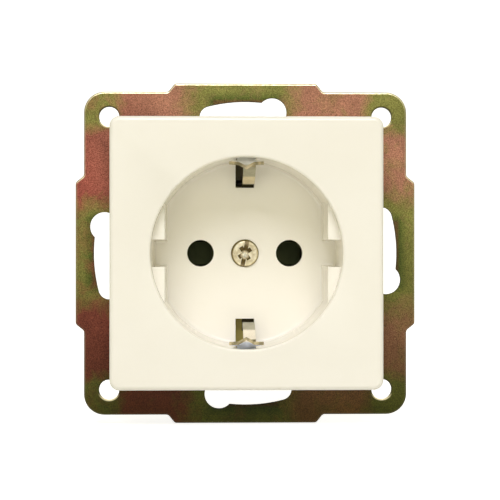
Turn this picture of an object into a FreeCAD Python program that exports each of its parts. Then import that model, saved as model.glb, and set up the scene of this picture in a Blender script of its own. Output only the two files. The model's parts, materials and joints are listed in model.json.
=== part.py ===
"""Type F wall socket insert: a moulded centre plate on a chromated steel mounting ring.

Millimetres. The origin is the centre of the ring's rear face, which lies on the wall.
X runs to the right, Z up, and Y into the wall, so the socket's front looks along -Y.
"""
import FreeCAD, Part
import math
import os
import Sketcher

# Driving sizes, in millimetres and degrees. Depths are measured along Y from the wall plane.
SIZES = {
    # recess for the plug's round body, which the rest is built round
    "cup_radius": 19.5,
    "cup_wall": 1.5,
    "cup_rim_radius": 0.5,
    "cup_floor_depth": 6.0,       # front of the floor, behind the wall plane
    "cup_floor_thickness": 2.5,
    "cup_floor_radius": 0.8,      # where the recess's walls run into its floor
    "guide_height": 2.8,          # how far the flats of the guide blocks stand in from the cup
    "guide_setback": 3.0,         # from the plate's front to the guide blocks
    "keyway_height": 5.6,
    "pin_spacing": 19.0,
    "pin_hole_radius": 2.85,
    "pin_radius": 2.4,            # the plug's pin that the contacts take
    "clip_slot_width": 4.0,
    "clip_slot_height": 5.5,      # inwards from the cup
    "clip_slot_lip": 2.4,         # front panel left in front of the slot
    # centre plate round the recess
    "plate_margin": 6.75,         # from the cup's outside to the plate's edge
    "plate_front": 11.5,          # front face stands this far in front of the wall
    "plate_skirt_depth": 8.0,
    "plate_skirt_wall": 1.8,
    "plate_panel": 2.0,
    "plate_draft": 0.5,
    "plate_corner_radius": 2.0,
    "plate_edge_radius": 1.0,
    "rib_thickness": 1.2,
    "rib_offset": 6.5,
    # mounting ring
    "ring_cup_gap": 0.6,          # between the cup's outside and the ring's opening
    "ring_width": 13.9,           # from the opening to the tabs, which makes 71 across
    "ring_step": 1.75,            # from the tabs back to the corners' edges
    "ring_sheet": 1.0,
    "ring_tab_width": 29.6,
    "ring_tab_slope": 1.4,
    "ring_tab_radius": 0.9,
    "ring_corner_radius": 4.3,
    "ring_edge_radius": 0.45,
    "corner_hole_radius": 2.1,
    "corner_hole_inset": 7.0,     # from the tabs' edge, which makes 57 between the holes
    "slot_web": 5.6,              # sheet between the opening and a slot
    "slot_width": 4.5,
    "slot_narrow_angle": 14.5,    # from the slot's own axis to the narrow end
    "slot_bulge_angle": 10.7,     # from the slot's own axis to the screw head's hole
    "slot_bulge_radius": 3.0,
    "slot_bulge_rise": 2.8,       # from the slot's inner edge, which makes a 60 circle
    # screws
    "thread_radius": 1.5,
    "thread_clearance": 0.05,
    "shank_clearance": 0.5,
    "centre_head_radius": 2.95,
    "centre_head_cone": 1.45,
    "centre_head_dome": 0.75,
    "centre_head_crown": 0.675,
    "centre_screw_length": 12.0,
    "centre_slot_turn": 9.0,      # the driver slot came to rest turned by this much
    "driver_slot_width": 0.9,
    "driver_slot_depth": 0.7,
    "driver_slot_overrun": 0.6,   # past the head at each end of the slot
    "driver_cross_length": 3.2,
    "pan_head_radius": 2.8,
    "pan_head_height": 2.0,
    "pan_head_edge": 0.7,
    # earth strap and its two clips, whose rises are measured outwards from the clip's inner face
    "clip_sheet": 0.8,
    "clip_width": 2.5,
    "clip_offset": 0.65,          # the clip's middle lies this far to the right
    "clip_stand": 5.0,            # from the cup's wall to the clip's inner face
    "clip_pinch_depth": 1.0,
    "clip_bend_rise": 1.4,
    "clip_bend_front": 4.0,
    "clip_tip_rise": 3.05,
    "clip_tip_front": 8.3,
    "head_width": 7.1,
    "head_rear_width": 3.8,       # of the neck, which runs into the slot behind the rim
    "head_sheet": 0.72,           # the sheet is drawn thinner where it spreads
    "head_shoulder": 0.45,        # share of the half width where each half leaf bends
    "head_shoulder_drop": 0.1,
    "head_crease": 1.0,
    "head_wing_rise": 3.55,
    "head_neck_rise": 4.5,
    "head_outer_rise": 5.6,
    "head_front": 8.6,
    "head_neck": 7.9,
    "head_rear": 7.3,
    "bridge_width": 6.0,
    "bridge_setback": 1.5,        # its ends stop this far inside the clips
    "bridge_gap": 0.1,
    "collar_radius": 2.4,
    "collar_length": 2.6,
    "tab_height": 5.0,
    # moulded base
    "cup_clearance": 0.3,
    "base_wall": 2.7,
    "base_step": 1.0,
    "base_step_depth": 16.0,
    "base_edge": 1.2,
    "chamber_half": 4.6,
    "chamber_front_wall": 1.2,
    "ear_radius": 2.9,
    "ear_rise": 1.173,            # the ears' middles stand this far outside the base
    "ear_depth": 6.0,
    "terminal_inset": 9.9,        # from the cover's edge in to the line and neutral terminals
    "terminal_pocket_margin": 4.3,
    "earth_terminal_inset": 10.0,
    "earth_pocket_half": 4.4,
    "terminal_recess": 5.0,       # from the lugs back to the base's rear face
    "wire_notch_width": 6.0,
    "wire_notch_depth": 3.0,
    "stake_radius": 1.2,
    "stake_inset": 3.26,          # from the cover's edge
    "stake_angle": 41.4,
    "stake_height": 0.7,
    # rear cover
    "cover_inset": 1.6,           # inside the base's edge
    "cover_thickness": 1.3,
    "cover_hole_radius": 3.4,
    "cover_clearance": 0.1,
    # contacts, their springs and the terminals
    "contact_sheet": 0.7,
    "contact_width": 7.0,
    "contact_mouth": 10.7,
    "contact_mouth_reach": 3.9,
    "contact_throat": 13.4,
    "contact_knee": 16.8,
    "contact_reach": 3.1,
    "pin_clearance": 0.05,
    "lug_depth": 26.0,
    "lug_sheet": 0.8,
    "lug_margin": 3.7,            # past the terminal screw
    "spring_sheet": 0.4,
    "spring_width": 3.0,
    "spring_front": 17.2,
    "spring_setback": 0.6,        # its ends stop short of the blades' inner edges
    "clamp_gap": 0.3,
    "clamp_sheet": 1.2,
    "clamp_size": 7.6,
    "clamp_hole_radius": 1.7,
    "terminal_screw_length": 12.0,
    # rivets between ring and base
    "rivet_radius": 1.25,
    "rivet_hole_radius": 1.35,
    "rivet_head_radius": 2.3,
    "rivet_head_height": 0.9,
    "rivet_head_crown": 0.72,
    "rivet_tail_radius": 2.0,
    "rivet_tail_height": 0.8,
    # expanding claws and their screws
    "claw_screw_gap": 3.0,        # from the base's pocket to the screw's axis
    "claw_sheet": 1.2,
    "claw_width": 10.0,
    "claw_foot_reach": 4.6,       # inwards from the screw's axis
    "claw_web_depth": 12.0,
    "claw_leg_reach": 2.3,        # outwards from the screw's axis
    "claw_leg_end": 24.6,
    "claw_tooth_rise": 1.3,       # outwards from the leg
    "claw_tooth_length": 2.0,
    "claw_tooth_notch": 1.5,
    "claw_tooth_notch_depth": 1.3,
    "claw_hole_radius": 2.1,
    "claw_hole_shift": 0.15,      # outwards, because the web tips outwards
    "claw_screw_length": 20.0,
    "claw_screw_hole_radius": 1.6,
    "claw_head_radius": 2.6,
    "claw_channel_half": 5.7,
    "claw_foot_clearance": 0.35,
    "claw_ledge_inset": 3.5,      # from the screw's axis in to the ledge's edge
    "claw_ledge_gap": 0.35,
}


class Size:
    """A number together with the sheet expression that it comes from."""

    def __init__(self, value, text):
        self.value = value
        self.text = text

    def __add__(self, other):
        other = as_size(other)
        return Size(self.value + other.value, f"({self.text} + {other.text})")

    def __sub__(self, other):
        other = as_size(other)
        return Size(self.value - other.value, f"({self.text} - {other.text})")

    def __mul__(self, other):
        other = as_size(other)
        return Size(self.value * other.value, f"({self.text} * {other.text})")

    def __truediv__(self, other):
        other = as_size(other)
        return Size(self.value / other.value, f"({self.text} / {other.text})")

    def __neg__(self):
        return Size(-self.value, f"(0 - {self.text})")

    __radd__ = __add__
    __rmul__ = __mul__

    def __rsub__(self, other):
        return as_size(other) - self


def as_size(number):
    """Plain numbers join in as sizes of their own."""
    return number if isinstance(number, Size) else Size(float(number), repr(float(number)))


def cosine(angle):
    return Size(math.cos(math.radians(as_size(angle).value)), f"cos({as_size(angle).text} * 1 deg)")


def sine(angle):
    return Size(math.sin(math.radians(as_size(angle).value)), f"sin({as_size(angle).text} * 1 deg)")


doc = FreeCAD.newDocument("wall_socket")
sheet = doc.addObject("Spreadsheet::Sheet", "Sizes")
for row, (alias, number) in enumerate(SIZES.items(), start=1):
    sheet.set(f"A{row}", alias.replace("_", " "))
    sheet.set(f"B{row}", str(number))
    sheet.setAlias(f"B{row}", alias)
doc.recompute()


class Driving:
    """The driving sizes, by name."""


S = Driving()
for alias, number in SIZES.items():
    setattr(S, alias, Size(number, f"Sizes.{alias}"))


# Tools of the trade: bound primitives, sketches and bodies

def bind(piece, prop, size):
    piece.setExpression(prop, as_size(size).text)


def place(piece, x, y, z):
    for letter, size in zip("xyz", (x, y, z)):
        bind(piece, f"Placement.Base.{letter}", size)
    return piece


def block(name, low, high):
    """A block between its lowest and its highest corner."""
    piece = doc.addObject("Part::Box", name)
    for prop, start, end in zip(("Length", "Width", "Height"), low, high):
        bind(piece, prop, end - as_size(start))
    return place(piece, *low)


ALONG_Y = FreeCAD.Rotation(FreeCAD.Vector(1, 0, 0), -90)


def rod(name, radius, start, end, x=0, z=0):
    """A round rod along Y, from one depth to another."""
    piece = doc.addObject("Part::Cylinder", name)
    piece.Placement.Rotation = ALONG_Y
    bind(piece, "Radius", radius)
    bind(piece, "Height", end - as_size(start))
    return place(piece, x, start, z)


def cone(name, start_radius, end_radius, start, end, x=0, z=0):
    """A cone along Y, from one depth to another."""
    piece = doc.addObject("Part::Cone", name)
    piece.Placement.Rotation = ALONG_Y
    bind(piece, "Radius1", start_radius)
    bind(piece, "Radius2", end_radius)
    bind(piece, "Height", end - as_size(start))
    return place(piece, x, start, z)


def fuse(name, pieces):
    joined = doc.addObject("Part::MultiFuse", name)
    joined.Shapes = pieces
    joined.Refine = True
    return joined


def common(name, pieces):
    joined = doc.addObject("Part::MultiCommon", name)
    joined.Shapes = pieces
    return joined


def cut(name, base, tools):
    """What is left of the base once every tool has been taken out of it."""
    tool = tools[0] if len(tools) == 1 else fuse(f"{name}_tools", tools)
    piece = doc.addObject("Part::Cut", name)
    piece.Base = base
    piece.Tool = tool
    piece.Refine = True
    return piece


def rounded(name, base, radius, wanted):
    """The base with every edge that the test wants rounded to one radius."""
    doc.recompute()
    edges = [n for n, edge in enumerate(base.Shape.Edges, start=1) if wanted(edge)]
    if not edges:
        raise RuntimeError(f"{name}: no edge to round")
    piece = doc.addObject("Part::Fillet", name)
    piece.Base = base
    piece.Edges = [(n, as_size(radius).value, as_size(radius).value) for n in edges]
    return piece


def in_plane(edge, axis, level, tolerance=0.001):
    """True where the whole edge lies at one level of an axis, 0 for X, 1 for Y, 2 for Z."""
    box = edge.BoundBox
    low = (box.XMin, box.YMin, box.ZMin)[axis]
    high = (box.XMax, box.YMax, box.ZMax)[axis]
    return abs(low - as_size(level).value) < tolerance and abs(high - as_size(level).value) < tolerance


def reach(edge):
    """The largest distance of the edge's ends from the Y axis."""
    return max(math.hypot(vertex.X, vertex.Z) for vertex in edge.Vertexes)


def along_depth(edge):
    """True where the edge is a straight line along Y."""
    box = edge.BoundBox
    return box.YLength > 0.01 and box.XLength < 0.01 and box.ZLength < 0.01


def fix_point(sketch, line, end, point):
    """Hold one point of a sketch at its own pair of coordinates."""
    for kind, axis, size in zip(("DistanceX", "DistanceY"), (-2, -1), point):
        size = as_size(size)
        if size.value == 0:
            sketch.addConstraint(Sketcher.Constraint("PointOnObject", line, end, axis))
        else:
            index = sketch.addConstraint(Sketcher.Constraint(kind, -1, 1, line, end, size.value))
            sketch.setExpression(f"Constraints[{index}]", size.text)


def draw_lines(sketch, points, closed=True):
    """Straight lines from point to point, each held at its own coordinates."""
    ends = points[1:] + points[:1] if closed else points[1:]
    first = sketch.GeometryCount
    for start, end in zip(points, ends):
        vectors = [FreeCAD.Vector(as_size(a).value, as_size(b).value, 0) for a, b in (start, end)]
        sketch.addGeometry(Part.LineSegment(*vectors), False)
    count = len(ends)
    for number in range(count if closed else count - 1):
        follower = first + (number + 1) % count
        sketch.addConstraint(Sketcher.Constraint("Coincident", first + number, 2, follower, 1))
    for number, point in enumerate(points):
        line, end = (first + number, 1) if number < count else (first + count - 1, 2)
        fix_point(sketch, line, end, point)


def draw_circle(sketch, x, y, radius):
    centre = FreeCAD.Vector(as_size(x).value, as_size(y).value, 0)
    number = sketch.addGeometry(Part.Circle(centre, FreeCAD.Vector(0, 0, 1), as_size(radius).value), False)
    fix_point(sketch, number, 3, (x, y))
    index = sketch.addConstraint(Sketcher.Constraint("Radius", number, as_size(radius).value))
    sketch.setExpression(f"Constraints[{index}]", as_size(radius).text)


class Moulded:
    """A body made by sketches on the wall plane, padded or pocketed one after the other."""

    def __init__(self, name):
        self.body = doc.addObject("PartDesign::Body", name)
        self.name = name

    def sketch(self, name, depth):
        """A sketch at one depth: its own x is X and its own y is Z."""
        drawing = self.body.newObject("Sketcher::SketchObject", f"{self.name}_{name}_sketch")
        planes = {feature.Role: feature for feature in self.body.Origin.OriginFeatures}
        drawing.AttachmentSupport = [(planes["XZ_Plane"], "")]
        drawing.MapMode = "FlatFace"
        bind(drawing, "AttachmentOffset.Base.z", -as_size(depth))
        return drawing

    def pad(self, name, drawing, length, draft=None):
        """Adds material from the sketch's depth towards the rear."""
        feature = self.body.newObject("PartDesign::Pad", f"{self.name}_{name}")
        feature.Profile = drawing
        feature.Reversed = True
        bind(feature, "Length", length)
        if draft is not None:
            bind(feature, "TaperAngle", draft)
        doc.recompute()
        return feature

    def pocket(self, name, drawing, length, forwards=False):
        """Takes material away, from the sketch's depth rearwards, or forwards."""
        feature = self.body.newObject("PartDesign::Pocket", f"{self.name}_{name}")
        feature.Profile = drawing
        feature.Reversed = forwards
        bind(feature, "Length", length)
        doc.recompute()
        return feature

    def fillet(self, name, base, radius, wanted):
        edges = [f"Edge{n}" for n, edge in enumerate(base.Shape.Edges, start=1) if wanted(edge)]
        feature = self.body.newObject("PartDesign::Fillet", f"{self.name}_{name}")
        feature.Base = (base, edges)
        bind(feature, "Radius", radius)
        doc.recompute()
        return feature


def bent_strip(name, role, points, near, far, sheet_thickness):
    """A strip of sheet bent along the middle line through the points.

    The points lie in the plane that the role names. The strip's width runs from near to far
    across that plane, and its sheet lies half to each side of the line.
    """
    turns = {
        "YZ": FreeCAD.Rotation(FreeCAD.Vector(1, 1, 1), 120),
        "XY": FreeCAD.Rotation(),
        "XZ": FreeCAD.Rotation(FreeCAD.Vector(1, 0, 0), 90),
    }
    spine = doc.addObject("Sketcher::SketchObject", f"{name}_line")
    spine.Placement.Rotation = turns[role]
    draw_lines(spine, points, closed=False)
    section = doc.addObject("Sketcher::SketchObject", f"{name}_section")
    half = as_size(sheet_thickness) / 2
    start, second = points[0], points[1]
    upright = as_size(start[0]).value == as_size(second[0]).value
    # The section stands across the first stretch, which runs along one of the plane's axes.
    middle, level = (start[0], start[1]) if upright else (start[1], start[0])
    across = (as_size(middle) - half, as_size(middle) + half)
    section_turns = {
        ("YZ", True): (FreeCAD.Rotation(), lambda a, b: (b, a), "z"),
        ("YZ", False): (FreeCAD.Rotation(FreeCAD.Vector(1, 0, 0), 90), lambda a, b: (b, a), "y"),
        ("XY", True): (FreeCAD.Rotation(FreeCAD.Vector(1, 0, 0), 90), lambda a, b: (a, b), "y"),
        ("XY", False): (FreeCAD.Rotation(FreeCAD.Vector(1, 1, 1), 120), lambda a, b: (a, b), "x"),
        ("XZ", True): (FreeCAD.Rotation(), lambda a, b: (a, b), "z"),
        ("XZ", False): (FreeCAD.Rotation(FreeCAD.Vector(1, 1, 1), 120), lambda a, b: (b, a), "x"),
    }
    turn, order, letter = section_turns[(role, upright)]
    section.Placement.Rotation = turn
    bind(section, f"Placement.Base.{letter}", level)
    corners = [(across[0], near), (across[1], near), (across[1], far), (across[0], far)]
    draw_lines(section, [order(a, b) for a, b in corners])
    strip = doc.addObject("Part::Sweep", name)
    strip.Sections = [section]
    strip.Spine = spine
    strip.Solid = True
    strip.Transition = "Right corner"
    return strip


def mirrored(name, source, across):
    """The source's mirror image across the plane through the origin, normal to one axis."""
    image = doc.addObject("Part::Mirroring", name)
    image.Source = source
    image.Normal = across
    return image


SUBPARTS = []


def subpart(piece, label):
    """Names a finished sub-part: its file takes the label."""
    piece.Label = label
    SUBPARTS.append(piece)
    return piece


SIDES = (("left", -1), ("right", 1))
POLES = (("line", -1), ("neutral", 1))
ACROSS_Z = FreeCAD.Vector(0, 0, 1)

# Places that several sub-parts share
CORNERS = ((1, 1), (-1, 1), (-1, -1), (1, -1))
pin_x = S.pin_spacing / 2
plate_front_face = -S.plate_front
cup_outer_radius = S.cup_radius + S.cup_wall
floor_rear = S.cup_floor_depth + S.cup_floor_thickness
clip_slot_inner = S.cup_radius - S.clip_slot_height
slot_front = plate_front_face + S.clip_slot_lip
plate_half = cup_outer_radius + S.plate_margin
ring_front = -S.ring_sheet
ring_opening_radius = cup_outer_radius + S.ring_cup_gap
ring_half = ring_opening_radius + S.ring_width
corner_hole_offset = ring_half - S.corner_hole_inset
slot_inner_radius = ring_opening_radius + S.slot_web
slot_outer_radius = slot_inner_radius + S.slot_width
pocket_radius = cup_outer_radius + S.cup_clearance
base_radius = pocket_radius + S.base_wall
base_rear_radius = base_radius - S.base_step
ear_offset = (base_radius + S.ear_rise) * cosine(45)
cover_radius = base_rear_radius - S.cover_inset
base_depth = S.lug_depth + S.terminal_recess
cover_rear = base_depth + S.cover_thickness
stake_x = (cover_radius - S.stake_inset) * cosine(S.stake_angle)
stake_z = (cover_radius - S.stake_inset) * sine(S.stake_angle)
terminal_drop = cover_radius - S.terminal_inset
earth_terminal_rise = cover_radius - S.earth_terminal_inset
clip_inner = S.cup_radius - S.clip_stand
bridge_half_length = clip_inner - S.bridge_setback
bridge_front = floor_rear + S.bridge_gap
bridge_rear = bridge_front + S.clip_sheet
lug_rear = S.lug_depth + S.lug_sheet
clamp_front = lug_rear + S.clamp_gap
clamp_rear = clamp_front + S.clamp_sheet
tapped_radius = S.thread_radius + S.thread_clearance
shank_bore_radius = S.thread_radius + S.shank_clearance
claw_screw_x = pocket_radius + S.claw_screw_gap
claw_foot = claw_screw_x - S.claw_foot_reach
claw_leg = claw_screw_x + S.claw_leg_reach
claw_channel_inner = claw_foot - S.claw_foot_clearance
through = as_size(1.0)                       # how far a cutting tool runs past the face it leaves


def make_mounting_ring():
    """Square sheet with a stepped outline, a round opening, corner holes and four keyhole slots."""
    ring = Moulded("ring_sheet_body")
    outer = ring_half
    inner = ring_half - S.ring_step
    tab = S.ring_tab_width / 2
    foot = tab + S.ring_tab_slope
    quarter = [(-foot, inner), (-tab, outer), (tab, outer), (foot, inner), (inner, inner)]
    outline = []
    for turn in range(4):
        for x, z in quarter:
            for _ in range(turn):
                x, z = z, -x
            outline.append((x, z))
    drawing = ring.sketch("outline", ring_front)
    draw_lines(drawing, outline)
    sheet_pad = ring.pad("sheet", drawing, S.ring_sheet)
    corner_reach = math.hypot(inner.value, inner.value)
    corners = ring.fillet("corners", sheet_pad, S.ring_corner_radius,
                          lambda edge: along_depth(edge) and abs(reach(edge) - corner_reach) < 0.01)
    step_reaches = (math.hypot(foot.value, inner.value), math.hypot(tab.value, outer.value))
    ring.fillet("steps", corners, S.ring_tab_radius,
                lambda edge: along_depth(edge)
                and any(abs(reach(edge) - step) < 0.01 for step in step_reaches))
    holes = ring.sketch("holes", ring_front)
    draw_circle(holes, 0, 0, ring_opening_radius)
    for x, z in CORNERS:
        draw_circle(holes, corner_hole_offset * x, corner_hole_offset * z, S.corner_hole_radius)
        draw_circle(holes, ear_offset * x, ear_offset * z, S.rivet_hole_radius)
    for _, side in SIDES:
        draw_circle(holes, claw_screw_x * side, 0, S.claw_screw_hole_radius)
    ring.pocket("openings", holes, S.ring_sheet)

    start, end = ring_front - through, through
    slots = []
    for number in range(4):
        slots.append(keyhole_slot(f"box_screw_slot_{number + 1}", start, end, 90 - 90 * number))
    cut_ring = cut("ring_cut", ring.body, slots)
    # Only the outline is rolled over at the front: the holes' edges stay sharp.
    rolled = rounded("mounting_ring_piece", cut_ring, S.ring_edge_radius,
                     lambda edge: in_plane(edge, 1, ring_front) and outline_edge(edge, inner))
    return subpart(rolled, "mounting_ring")


def outline_edge(edge, inner):
    """True for the edges of the ring's outline, which lie outside all of its holes."""
    centre = edge.BoundBox.Center
    x, z = abs(centre.x), abs(centre.z)
    corner_middle = corner_hole_offset.value + S.corner_hole_radius.value / 2
    return max(x, z) > inner.value - 0.01 or min(x, z) > corner_middle


def keyhole_slot(name, start, end, axis_angle):
    """One curved slot for a box screw: a ring sector with round ends and a hole for the head.

    The angle is that of the slot's own axis, anticlockwise from +X as the front is seen.
    """
    half_width = S.slot_width / 2
    middle = slot_inner_radius + half_width
    bulge_circle = slot_inner_radius + S.slot_bulge_rise
    narrow = axis_angle + S.slot_narrow_angle
    bulge = axis_angle - S.slot_bulge_angle
    sector = doc.addObject("Part::Cylinder", f"{name}_sector")
    bind(sector, "Radius", slot_outer_radius)
    bind(sector, "Height", end - start)
    bind(sector, "Angle", S.slot_narrow_angle + S.slot_bulge_angle)
    # The sector grows from the bulge towards the narrow end, with its own axis along -Y.
    sector.Placement.Rotation = FreeCAD.Rotation(FreeCAD.Vector(0, -1, 0), bulge.value) * FreeCAD.Rotation(
        FreeCAD.Vector(1, 0, 0), 90)
    place(sector, 0, end, 0)
    core = rod(f"{name}_core", slot_inner_radius, start - through, end + through)
    arc = cut(f"{name}_arc", sector, [core])
    ends = [arc]
    for label, angle, circle, radius in (("narrow", narrow, middle, half_width),
                                         ("bulge_end", bulge, middle, half_width),
                                         ("bulge", bulge, bulge_circle, S.slot_bulge_radius)):
        ends.append(rod(f"{name}_{label}", radius, start, end,
                        circle * cosine(angle), circle * sine(angle)))
    return fuse(name, ends)


def make_centre_plate():
    """Square plate with a skirt, the round recess with its guide blocks, and every opening in it."""
    plate = Moulded("plate_body")
    half = plate_half
    square = [(-half, -half), (half, -half), (half, half), (-half, half)]
    drawing = plate.sketch("square", plate_front_face)
    draw_lines(drawing, square)
    panel = plate.pad("panel", drawing, S.plate_skirt_depth, S.plate_draft)
    corners = plate.fillet("corners", panel, S.plate_corner_radius,
                           lambda edge: edge.BoundBox.YLength > S.plate_skirt_depth.value / 2)
    plate.fillet("front_edge", corners, S.plate_edge_radius,
                 lambda edge: in_plane(edge, 1, plate_front_face))
    inside = half - S.plate_skirt_wall
    hollow = plate.sketch("hollow", plate_front_face + S.plate_panel)
    draw_lines(hollow, [(-inside, -inside), (inside, -inside), (inside, inside), (-inside, inside)])
    plate.pocket("hollow", hollow, S.plate_skirt_depth)
    cup = plate.sketch("cup", plate_front_face + S.plate_panel / 2)
    draw_circle(cup, 0, 0, cup_outer_radius)
    plate.pad("cup", cup, floor_rear - plate_front_face - S.plate_panel / 2)
    ribs = plate.sketch("ribs", plate_front_face + S.plate_panel / 2)
    rib_inner = cup_outer_radius - S.cup_wall
    rib_outer = inside + S.plate_skirt_wall / 2
    for x in (-1, 1):
        for z in (-1, 1):
            near = S.rib_offset * x - S.rib_thickness / 2
            far = near + S.rib_thickness
            draw_lines(ribs, [(near, rib_inner * z), (far, rib_inner * z),
                              (far, rib_outer * z), (near, rib_outer * z)])
    plate.pad("ribs", ribs, S.plate_skirt_depth - S.plate_panel)

    front = plate_front_face - through
    guide_front = plate_front_face + S.guide_setback
    guide = S.cup_radius - S.guide_height
    keyway = S.keyway_height / 2
    plain = [rod("recess_room", S.cup_radius, guide_front, S.cup_floor_depth),
             block("recess_between_guides", (-guide, guide_front, -cup_outer_radius),
                   (guide, S.cup_floor_depth, cup_outer_radius)),
             block("recess_keyways", (-cup_outer_radius, guide_front, -keyway),
                   (cup_outer_radius, S.cup_floor_depth, keyway))]
    # Each plain shape has its edges on the floor rounded before the three meet.
    room, between_guides, keyways = [
        rounded(f"{shape.Name}_rounded", shape, S.cup_floor_radius,
                lambda edge: in_plane(edge, 1, S.cup_floor_depth)) for shape in plain]
    tools = [rod("recess_mouth", S.cup_radius, front, guide_front),
             common("lower_recess", [room, fuse("recess_width", [between_guides, keyways])])]
    slot = S.clip_slot_width / 2
    behind = floor_rear + through
    for label, side in (("lower", -1), ("upper", 1)):
        near, far = sorted((clip_slot_inner * side, (cup_outer_radius + through) * side),
                           key=lambda size: size.value)
        tools.append(block(f"{label}_clip_slot", (-slot, slot_front, near), (slot, behind, far)))
    for pole, side in POLES:
        tools.append(rod(f"{pole}_pin_hole", S.pin_hole_radius, S.cup_floor_depth - through, behind,
                         pin_x * side))
    tools.append(rod("centre_screw_hole", tapped_radius, S.cup_floor_depth - through, behind))
    seat_radius = S.centre_head_radius + S.thread_clearance
    tools.append(cone("centre_screw_seat", seat_radius, tapped_radius, S.cup_floor_depth,
                      S.cup_floor_depth + S.centre_head_cone))
    opened = cut("plate_cut", plate.body, tools)
    rim = rounded("centre_plate_piece", opened, S.cup_rim_radius,
                  lambda edge: in_plane(edge, 1, plate_front_face)
                  and reach(edge) < S.cup_radius.value + 0.1)
    return subpart(rim, "centre_plate")


def make_socket_base():
    """Moulded base behind the ring: cup pocket, contact chambers, terminal pockets, claw channels."""
    front_body = rod("base_front", base_radius, 0, S.base_step_depth)
    rear_body = rod("base_rear", base_rear_radius, S.base_step_depth / 2, base_depth)
    ears = []
    for number, (x, z) in enumerate(CORNERS, start=1):
        ears.append(rod(f"base_ear_{number}", S.ear_radius, 0, S.ear_depth,
                        ear_offset * x, ear_offset * z))
    whole = fuse("base_whole", [front_body, rear_body] + ears)
    edged = rounded("base_edged", whole, S.base_edge,
                    lambda edge: in_plane(edge, 1, base_depth))

    behind = base_depth + through
    chamber_front = floor_rear + S.chamber_front_wall
    tools = [rod("cup_pocket", pocket_radius, -through, floor_rear)]
    strap = S.bridge_width / 2 + S.cup_clearance
    groove_rear = bridge_rear + S.bridge_gap
    tools.append(block("strap_groove", (-strap, floor_rear - through, -pocket_radius),
                       (strap, groove_rear, pocket_radius)))
    tools.append(rod("collar_bore", S.collar_radius + S.cup_clearance, floor_rear,
                     groove_rear + S.collar_length + S.cup_clearance))
    tools.append(rod("centre_screw_bore", shank_bore_radius, floor_rear,
                     S.cup_floor_depth + S.centre_screw_length + through))
    for pole, side in POLES:
        x = pin_x * side
        tools.append(rod(f"{pole}_base_pin_hole", S.pin_hole_radius + S.cup_clearance,
                         floor_rear - through, chamber_front + through, x))
        tools.append(block(f"{pole}_chamber", (x - S.chamber_half, chamber_front, -S.chamber_half),
                           (x + S.chamber_half, behind, S.chamber_half)))
        tools.append(block(f"{pole}_terminal_pocket",
                           (x - S.chamber_half, S.lug_depth, -terminal_drop - S.terminal_pocket_margin),
                           (x + S.chamber_half, behind, 0)))
        tools.append(block(f"{pole}_wire_notch",
                           (x - S.wire_notch_width / 2, lug_rear, -base_radius),
                           (x + S.wire_notch_width / 2, lug_rear + S.wire_notch_depth, 0)))
        tools.append(terminal_bore(pole, x, -terminal_drop))
    pocket_bottom = earth_terminal_rise - S.earth_pocket_half
    pocket_top = earth_terminal_rise + S.earth_pocket_half
    tools.append(block("earth_pocket", (-S.chamber_half, floor_rear, pocket_bottom),
                       (S.chamber_half, behind, pocket_top)))
    tools.append(block("earth_wire_notch", (-S.wire_notch_width / 2, lug_rear, pocket_bottom),
                       (S.wire_notch_width / 2, lug_rear + S.wire_notch_depth, base_radius)))
    for number, (x, z) in enumerate(CORNERS, start=1):
        tools.append(rod(f"base_rivet_hole_{number}", S.rivet_hole_radius, -through,
                         S.ear_depth + through, ear_offset * x, ear_offset * z))
        tools.append(rod(f"base_rivet_tail_{number}", S.rivet_tail_radius + S.cup_clearance,
                         S.ear_depth, S.ear_depth + S.rivet_tail_height + S.cup_clearance,
                         ear_offset * x, ear_offset * z))
    half = S.claw_channel_half
    ledge_front = floor_rear
    ledge_rear = S.claw_web_depth - S.claw_sheet / 2 - S.claw_ledge_gap
    outside = base_radius + S.ear_radius
    ledge_reach = claw_screw_x - S.claw_ledge_inset
    for name, side in SIDES:
        for label, front, rear, near in (("front", -through, ledge_front, claw_channel_inner),
                                         ("ledge", ledge_front - through, ledge_rear, ledge_reach),
                                         ("rear", ledge_rear, behind, claw_channel_inner)):
            low, high = sorted((near * side, outside * side), key=lambda size: size.value)
            tools.append(block(f"{name}_claw_channel_{label}", (low, front, -half),
                               (high, rear, half)))
    hollowed = cut("base_cut", edged, tools)
    stakes = []
    for name, side in SIDES:
        stakes.append(rod(f"{name}_stake", S.stake_radius, base_depth - through,
                          cover_rear + S.stake_height, stake_x * side, stake_z))
    return subpart(fuse("socket_base_piece", [hollowed] + stakes), "socket_base")


def terminal_bore(name, x, z):
    """Blind bore that the end of a terminal screw runs into."""
    return rod(f"{name}_terminal_bore", shank_bore_radius,
               clamp_rear - S.terminal_screw_length - through, S.lug_depth + through, x, z)


def make_base_cover():
    """Thin insulating cover staked to the base's rear, with a hole over each terminal screw."""
    disc = rod("cover_disc", cover_radius, base_depth, cover_rear)
    width = claw_channel_inner - S.cover_clearance
    sides = block("cover_width", (-width, base_depth - through, -base_radius),
                  (width, cover_rear + through, base_radius))
    shape = common("cover_shape", [disc, sides])
    tools = []
    for name, x, z in terminal_places():
        tools.append(rod(f"cover_{name}_hole", S.cover_hole_radius, base_depth - through,
                         cover_rear + through, x, z))
    for name, side in SIDES:
        tools.append(rod(f"cover_{name}_stake_hole", S.stake_radius + S.cover_clearance,
                         base_depth - through, cover_rear + through, stake_x * side, stake_z))
    return subpart(cut("base_cover_piece", shape, tools), "base_cover")


def terminal_places():
    """Name, X and Z of the three terminals."""
    return (("line", -pin_x, -terminal_drop), ("neutral", pin_x, -terminal_drop),
            ("earth", as_size(0), earth_terminal_rise))


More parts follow.
